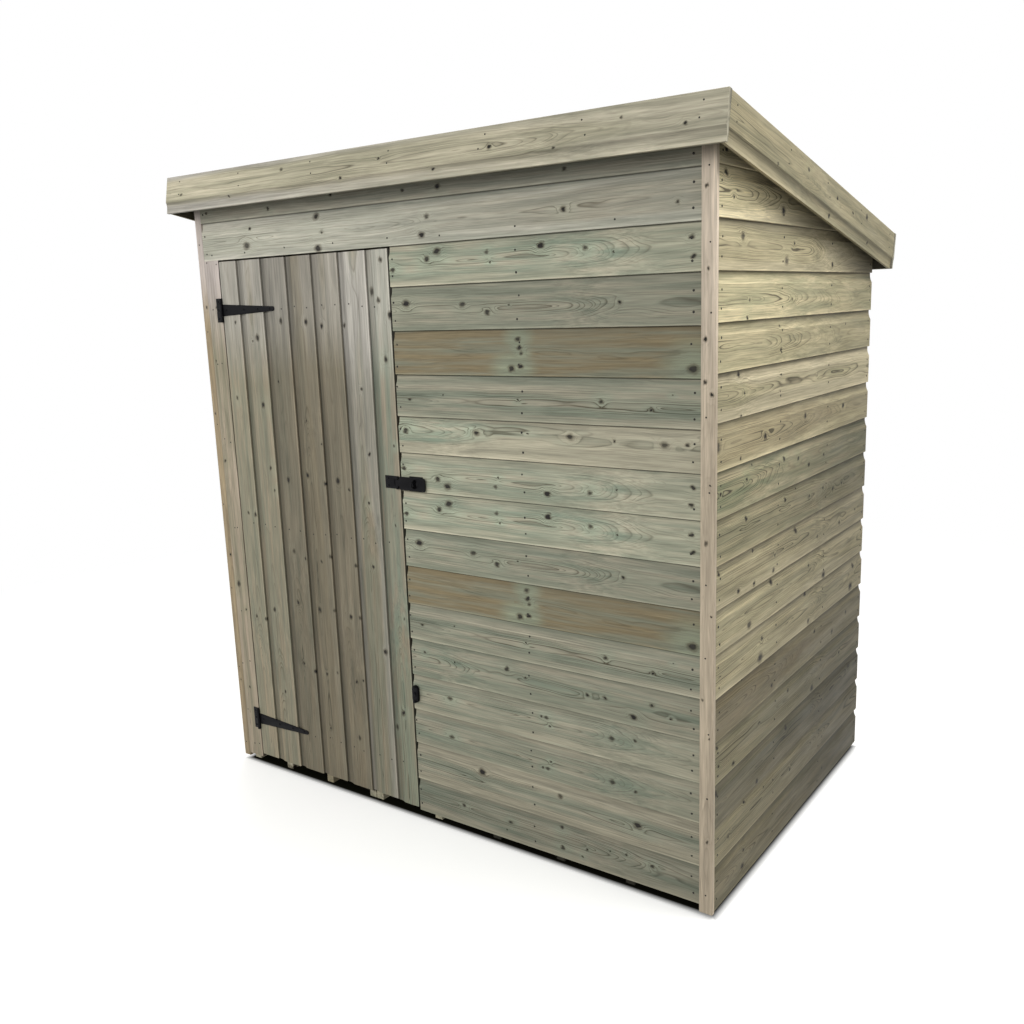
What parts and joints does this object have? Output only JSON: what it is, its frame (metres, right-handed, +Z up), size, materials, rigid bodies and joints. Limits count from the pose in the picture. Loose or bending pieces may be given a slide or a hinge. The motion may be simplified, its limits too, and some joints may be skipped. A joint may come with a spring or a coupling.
{
  "type": "garden shed",
  "caption": "Pent-roof wooden garden shed with horizontal shiplap walls, a boarded floor and a ledged side-hung door on tee hinges with hasp and turn button.",
  "frame": {"origin": "on the ground under the middle of the roof, which is the bottom centre of the bounding box", "axes": "+Z up, front wall with the door facing -Y, +X to the right of a person facing the door"},
  "size_m": [1.912, 1.3554, 2.01],
  "materials": {
    "shiplap_cladding": "pressure-treated sawn and planed softwood, green-grey",
    "door_boards": "pressure-treated planed softwood, grey-tan",
    "planed_trim": "planed softwood, pale pinkish tan",
    "fascia_boards": "pressure-treated planed softwood, light khaki",
    "framing_timber": "sawn softwood",
    "floor_timber": "pressure-treated sawn softwood",
    "roof_felt": "mineral-surfaced bitumen felt",
    "black_steel": "black powder-coated steel",
    "zinc_screw": "black round-head screw"
  },
  "bodies": {
    "shed": {"floor_bearers": "floor_timber", "floor_deck": "floor_timber", "front_wall_cladding": "shiplap_cladding", "front_header_cladding": "shiplap_cladding", "left_jamb_board": "planed_trim", "left_corner_strip": "planed_trim", "right_corner_strip": "planed_trim", "right_wall_cladding": "shiplap_cladding", "left_wall_cladding": "shiplap_cladding", "back_wall_cladding": "shiplap_cladding", "front_wall_studs": "framing_timber", "front_wall_rails": "framing_timber", "right_wall_studs": "framing_timber", "right_wall_rails": "framing_timber", "left_wall_studs": "framing_timber", "left_wall_rails": "framing_timber", "back_wall_studs": "framing_timber", "back_wall_rails": "framing_timber", "roof_edge_battens": "framing_timber", "roof_purlins": "framing_timber", "roof_deck": "framing_timber", "roof_felt": "roof_felt", "front_fascia": "fascia_boards", "back_fascia": "fascia_boards", "left_fascia": "fascia_boards", "right_fascia": "fascia_boards", "upper_hinge_plate": "black_steel", "lower_hinge_plate": "black_steel", "hasp_staple": "black_steel", "turn_button_screw": "zinc_screw"},
    "door": {"door_boards": "door_boards", "door_top_ledge": "framing_timber", "door_middle_ledge": "framing_timber", "door_bottom_ledge": "framing_timber", "door_upper_brace": "framing_timber", "door_lower_brace": "framing_timber", "upper_hinge_strap": "black_steel", "lower_hinge_strap": "black_steel", "hasp_hinge_plate": "black_steel"},
    "hasp": {"hasp_strap": "black_steel"},
    "button": {"turn_button": "black_steel"}
  },
  "joints": [
    {"name": "door_swing", "type": "hinge", "parent": "shed", "child": "door", "pos_m": [-0.8225, -0.6045, 0.88], "axis": [0, 0, -1], "range_deg": [0, 165]},
    {"name": "hasp_swing", "type": "hinge", "parent": "door", "child": "hasp", "pos_m": [-0.1, -0.6035, 1.073], "axis": [0, 0, -1], "range_deg": [0, 160]},
    {"name": "button_turn", "type": "hinge", "parent": "shed", "child": "button", "pos_m": [-0.073, -0.607, 0.419], "axis": [0, 1, 0], "range_deg": [0, 90]}
  ]
}
